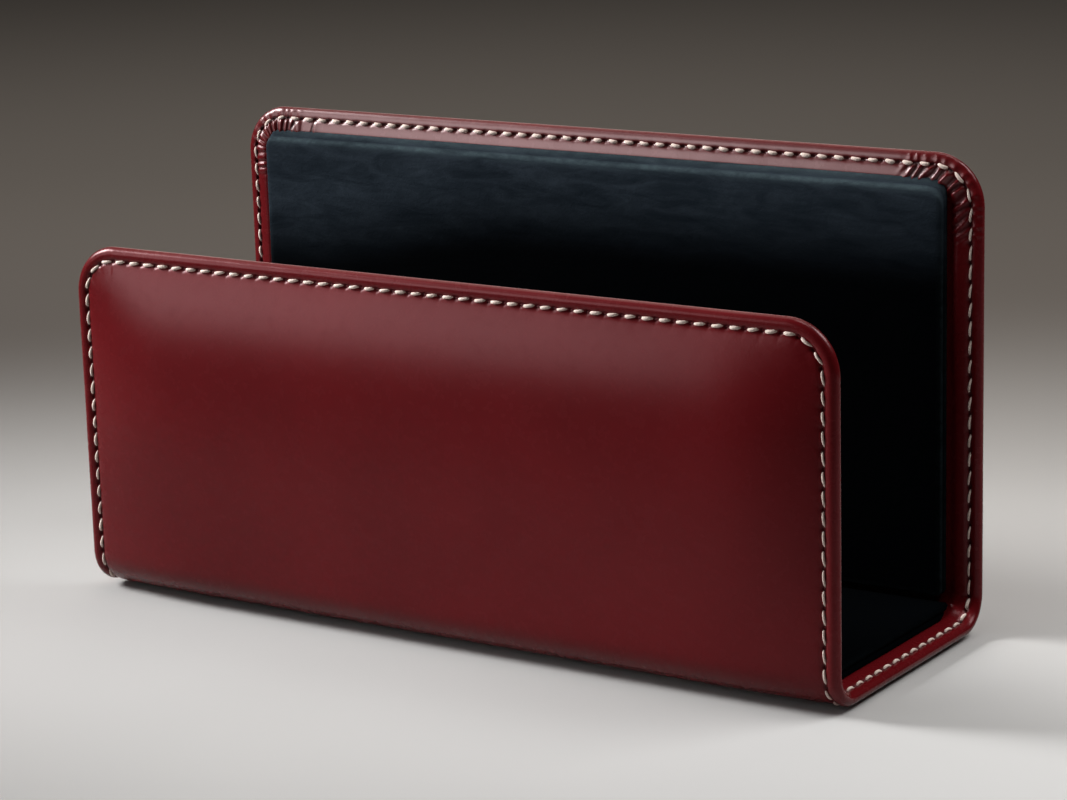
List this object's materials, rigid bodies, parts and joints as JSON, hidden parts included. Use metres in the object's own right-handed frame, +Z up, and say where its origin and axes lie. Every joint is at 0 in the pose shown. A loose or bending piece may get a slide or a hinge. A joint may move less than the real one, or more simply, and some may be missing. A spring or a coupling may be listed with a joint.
{
  "type": "letter holder",
  "caption": "U-shaped desk rack for letters with a low padded front, tall back and open ends, covered in stitched leather and lined with dark cloth.",
  "frame": {"origin": "middle of the felt's underside, on the surface that the holder stands on", "axes": "+X along the width, +Y from the low front panel to the tall back panel, +Z up"},
  "size_m": [0.24, 0.091, 0.1287],
  "materials": {
    "leather": "satin",
    "thread": "matte",
    "lining_cloth": "matte",
    "core_board": "matte",
    "lining_board": "matte",
    "card": "matte",
    "foam": "matte",
    "wadding": "matte",
    "felt": "matte"
  },
  "bodies": {
    "root": {"core_sheet": "core_board", "leather_cover": "leather", "front_padding": "foam", "back_padding": "foam", "outer_stitches": "thread", "inner_stitches": "thread", "front_infill_card": "card", "base_infill_card": "card", "back_infill_card": "card", "front_lining_board": "lining_board", "base_lining_board": "lining_board", "back_lining_board": "lining_board", "front_lining_wadding": "wadding", "base_lining_wadding": "wadding", "back_lining_wadding": "wadding", "front_lining_cloth": "lining_cloth", "base_lining_cloth": "lining_cloth", "back_lining_cloth": "lining_cloth", "base_felt": "felt"}
  },
  "joints": []
}
